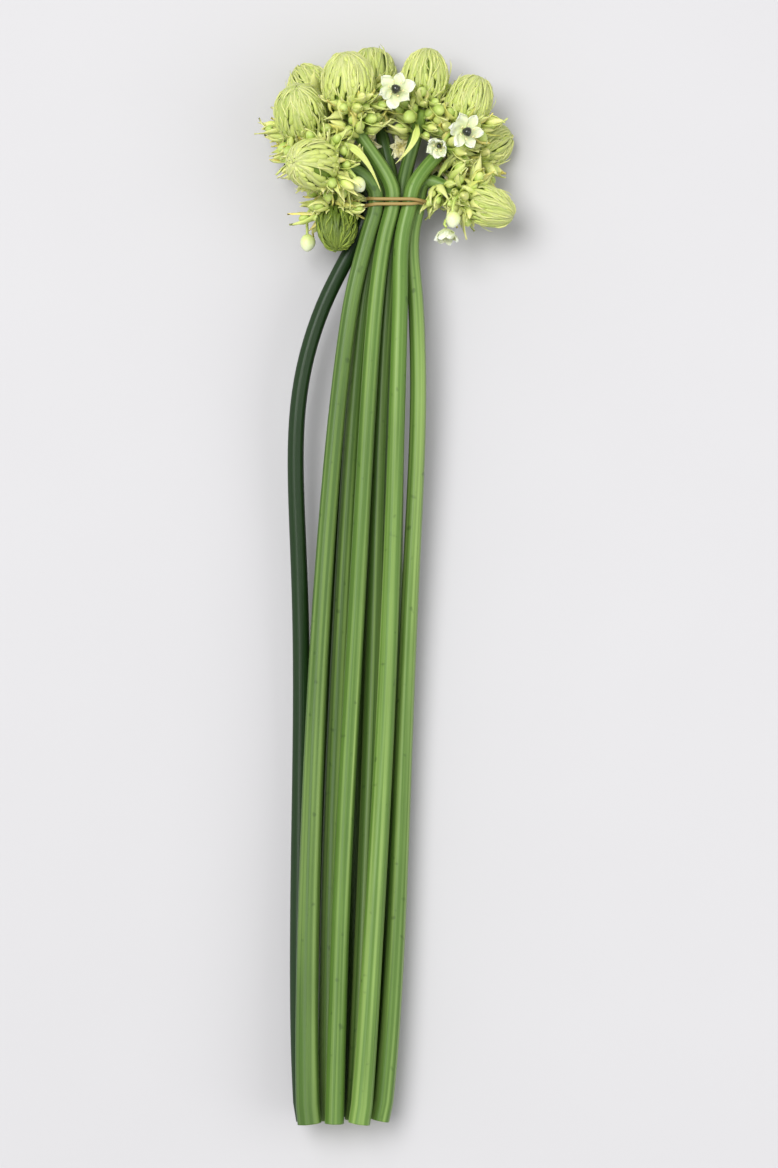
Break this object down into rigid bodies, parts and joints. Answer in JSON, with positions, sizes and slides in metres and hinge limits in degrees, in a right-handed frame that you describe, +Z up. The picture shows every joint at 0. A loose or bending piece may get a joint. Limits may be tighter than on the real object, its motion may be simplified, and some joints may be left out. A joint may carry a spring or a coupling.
{
  "type": "ornithogalum flower bunch",
  "caption": "Tied bunch of tall green flower stems, each with an egg-shaped head of long-tipped bracts in bud, and a few open white six-petalled flowers with black centres, laid flat.",
  "frame": {"origin": "on the table, under the middle of the bunch's bounding box", "axes": "+Y along the stems from their cut ends to the flower heads, +X across the bunch, +Z up from the table"},
  "size_m": [0.1611, 0.7013, 0.0865],
  "materials": {
    "flower_head": "soft satin, pale yellow-green bracts and buds",
    "stem": "waxy satin, ribbed mid green",
    "petals": "thin, greenish white",
    "ovary": "glossy green-black",
    "band": "matt tan rubber"
  },
  "bodies": {
    "root": {"head_01": "flower_head", "head_02": "flower_head", "head_03": "flower_head", "head_04": "flower_head", "head_05": "flower_head", "head_06": "flower_head", "head_07": "flower_head", "head_08": "flower_head", "head_09": "flower_head", "head_10": "flower_head", "stem_01": "stem", "stem_02": "stem", "stem_03": "stem", "stem_04": "stem", "stem_05": "stem", "stem_06": "stem", "stem_07": "stem", "stem_08": "stem", "stem_09": "stem", "stem_10": "stem", "petals_1": "petals", "petals_2": "petals", "petals_3": "petals", "petals_4": "petals", "petals_5": "petals", "ovary_1": "ovary", "ovary_2": "ovary", "ovary_3": "ovary", "ovary_4": "ovary", "ovary_5": "ovary", "rubber_band": "band"}
  },
  "joints": []
}
